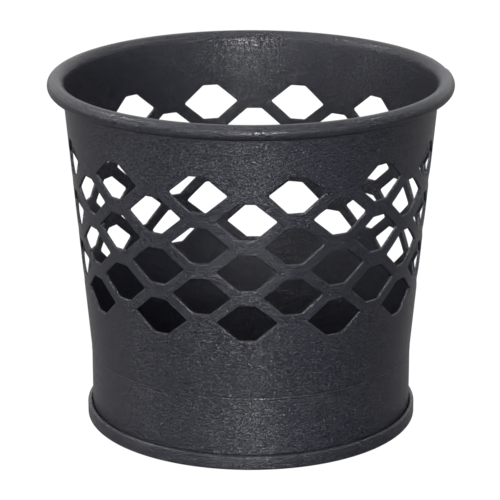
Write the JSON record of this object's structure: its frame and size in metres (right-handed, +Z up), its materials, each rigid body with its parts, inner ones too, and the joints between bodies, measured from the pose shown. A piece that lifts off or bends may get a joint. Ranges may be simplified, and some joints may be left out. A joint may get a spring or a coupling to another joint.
{
  "type": "pen holder cup",
  "caption": "Round tapered desk cup of pierced sheet steel, with a curled rim, a plain band at the foot and a floor hooked on in a double seam.",
  "frame": {"origin": "middle of the cup's underside, on the surface that it stands on", "axes": "+Z up along the cup's axis, towards its open mouth; -Y is the front; +X is to the right seen from the front"},
  "size_m": [0.1, 0.1, 0.0877],
  "materials": {
    "powder_coat": "charcoal powder coat with a fine leathery grain, satin"
  },
  "bodies": {
    "root": {"cup_wall": "powder_coat", "base_pan": "powder_coat"}
  },
  "joints": []
}
